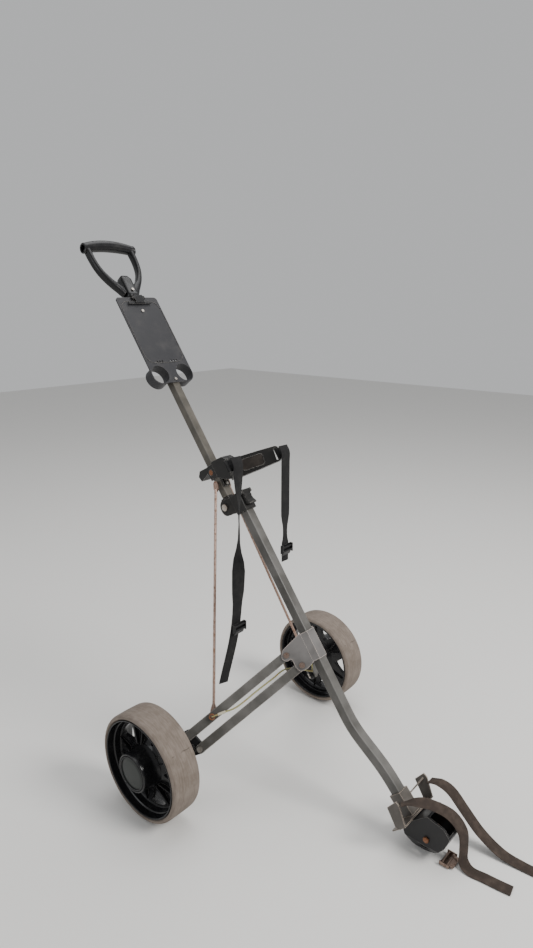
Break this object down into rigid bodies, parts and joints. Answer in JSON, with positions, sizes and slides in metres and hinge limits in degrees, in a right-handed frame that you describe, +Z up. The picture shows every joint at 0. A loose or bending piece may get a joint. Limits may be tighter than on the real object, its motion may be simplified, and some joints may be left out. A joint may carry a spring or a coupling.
{
  "type": "folding golf push cart",
  "caption": "Folding two-wheel golf push cart: leaning two-piece mast, strut-braced swing-out legs, grip handle, scorecard plate, bag bracket with straps, and a foot.",
  "frame": {"origin": "bottom centre of the bounding box, on the floor that the tyres and the foot stand on", "axes": "+X forward, from the handle towards the foot; +Y to the left of someone who pulls the cart by its handle; +Z up"},
  "size_m": [1.0362, 0.614, 1.0663],
  "materials": {
    "grey_powder_coat": "worn satin powder coat",
    "shaft_powder_coat": "worn satin powder coat",
    "black_plastic": "moulded, lightly worn",
    "rim_plastic": "moulded gloss",
    "foam_tyre": "scuffed foam",
    "worn_steel": "dull plated",
    "rusty_rod": "light brown rust",
    "scorecard_plate": "fine texture",
    "webbing": "woven webbing",
    "foot_webbing": "woven webbing, dusty",
    "cable_sleeve": "thin sleeve"
  },
  "bodies": {
    "frame": {"bracket_back": "grey_powder_coat", "foot_base": "black_plastic", "foot_bolt": "rusty_rod", "foot_bracket": "grey_powder_coat", "foot_buckle": "worn_steel", "foot_strap_left": "foot_webbing", "foot_strap_right": "foot_webbing", "hinge_base": "black_plastic", "hinge_bolt": "worn_steel", "latch_pin": "worn_steel", "leg_bracket": "grey_powder_coat", "leg_cable": "cable_sleeve", "leg_rivet_lower_left": "worn_steel", "leg_rivet_lower_right": "worn_steel", "leg_rivet_upper_left": "worn_steel", "leg_rivet_upper_right": "worn_steel", "lower_tube": "grey_powder_coat"},
    "upper_shaft": {"upper_tube": "shaft_powder_coat", "fold_tongue": "black_plastic", "stay_cross_pin": "worn_steel", "bag_bracket": "black_plastic", "bag_strap_left": "webbing", "bag_strap_right": "webbing", "bag_buckle_left": "black_plastic", "bag_buckle_right": "black_plastic", "card_plate": "scorecard_plate", "clip_mount": "black_plastic", "clip_pin": "worn_steel", "handle": "black_plastic", "clamp_screw": "rusty_rod", "tongue_screw_low": "worn_steel", "tongue_screw_high": "worn_steel", "card_screw_low": "worn_steel", "card_screw_high": "worn_steel", "handle_screw": "worn_steel"},
    "card_clip": {"card_clip": "black_plastic"},
    "latch": {"latch_lever": "black_plastic"},
    "leg_left": {"leg_upper_left": "grey_powder_coat", "stay_pin_left": "worn_steel"},
    "link_left": {"leg_lower_left": "grey_powder_coat"},
    "stay_left": {"stay_left": "rusty_rod"},
    "carrier_left": {"link_carrier_left": "black_plastic", "link_bolt_upper_left": "worn_steel", "link_bolt_lower_left": "worn_steel", "axle_left": "worn_steel"},
    "wheel_left": {"tyre_left": "foam_tyre", "rim_left": "rim_plastic", "hub_cap_left": "black_plastic"},
    "leg_right": {"leg_upper_right": "grey_powder_coat", "stay_pin_right": "worn_steel"},
    "link_right": {"leg_lower_right": "grey_powder_coat"},
    "stay_right": {"stay_right": "rusty_rod"},
    "carrier_right": {"link_carrier_right": "black_plastic", "link_bolt_upper_right": "worn_steel", "link_bolt_lower_right": "worn_steel", "axle_right": "worn_steel"},
    "wheel_right": {"tyre_right": "foam_tyre", "rim_right": "rim_plastic", "hub_cap_right": "black_plastic"}
  },
  "joints": [
    {"name": "shaft_fold", "type": "hinge", "parent": "frame", "child": "upper_shaft", "pos_m": [-0.13996, 0, 0.53634], "axis": [0, -1, 0], "range_deg": [0, 172], "deforming": ["bag_strap_left", "bag_strap_right", "leg_cable"]},
    {"name": "card_clip_lift", "type": "hinge", "parent": "upper_shaft", "child": "card_clip", "pos_m": [-0.40653, 0, 0.94705], "axis": [0, -1, 0], "range_deg": [0, 16], "stiffness_Nm_per_rad": 0.3},
    {"name": "latch_release", "type": "hinge", "parent": "frame", "child": "latch", "pos_m": [-0.09775, 0, 0.57677], "axis": [0, -1, 0], "range_deg": [0, 30], "stiffness_Nm_per_rad": 0.3},
    {"name": "leg_fold_left", "type": "hinge", "parent": "frame", "child": "leg_left", "pos_m": [0.0451, 0.0401, 0.28699], "axis": [-0.492, -0.7944, -0.3561], "range_deg": [0, 77.2]},
    {"name": "link_fold_left", "type": "hinge", "parent": "frame", "child": "link_left", "pos_m": [0.07427, 0.02856, 0.27243], "axis": [-0.492, -0.7944, -0.3561], "range_deg": [0, 77.2]},
    {"name": "stay_swing_left", "type": "hinge", "parent": "leg_left", "child": "stay_left", "pos_m": [-0.05071, 0.14403, 0.16648], "axis": [0.5251, 0.7626, 0.3777], "range_deg": [0, 51]},
    {"name": "carrier_turn_left", "type": "hinge", "parent": "leg_left", "child": "carrier_left", "pos_m": [-0.08147, 0.19107, 0.12509], "axis": [-0.492, -0.7944, -0.3561], "range_deg": [-77.2, 0]},
    {"name": "wheel_spin_left", "type": "hinge", "parent": "carrier_left", "child": "wheel_left", "pos_m": [-0.10001, 0.26197, 0.105], "axis": [0, 1, 0], "continuous": true},
    {"name": "leg_fold_right", "type": "hinge", "parent": "frame", "child": "leg_right", "pos_m": [0.0451, -0.0401, 0.28699], "axis": [0.492, -0.7944, 0.3561], "range_deg": [0, 77.2]},
    {"name": "link_fold_right", "type": "hinge", "parent": "frame", "child": "link_right", "pos_m": [0.07427, -0.02856, 0.27243], "axis": [0.492, -0.7944, 0.3561], "range_deg": [0, 77.2]},
    {"name": "stay_swing_right", "type": "hinge", "parent": "leg_right", "child": "stay_right", "pos_m": [-0.05071, -0.14403, 0.16648], "axis": [-0.5251, 0.7626, -0.3777], "range_deg": [0, 51]},
    {"name": "carrier_turn_right", "type": "hinge", "parent": "leg_right", "child": "carrier_right", "pos_m": [-0.08147, -0.19107, 0.12509], "axis": [0.492, -0.7944, 0.3561], "range_deg": [-77.2, 0]},
    {"name": "wheel_spin_right", "type": "hinge", "parent": "carrier_right", "child": "wheel_right", "pos_m": [-0.10001, -0.26197, 0.105], "axis": [0, 1, 0], "continuous": true}
  ],
  "couplings": [
    {"joint": "leg_fold_left", "follows": "shaft_fold", "ratio": 0.44826},
    {"joint": "link_fold_left", "follows": "shaft_fold", "ratio": 0.44826},
    {"joint": "carrier_turn_left", "follows": "shaft_fold", "ratio": -0.44826},
    {"joint": "stay_swing_left", "follows": "shaft_fold", "ratio": 0.29608},
    {"joint": "leg_fold_right", "follows": "shaft_fold", "ratio": 0.44826},
    {"joint": "link_fold_right", "follows": "shaft_fold", "ratio": 0.44826},
    {"joint": "carrier_turn_right", "follows": "shaft_fold", "ratio": -0.44826},
    {"joint": "stay_swing_right", "follows": "shaft_fold", "ratio": 0.29608}
  ]
}
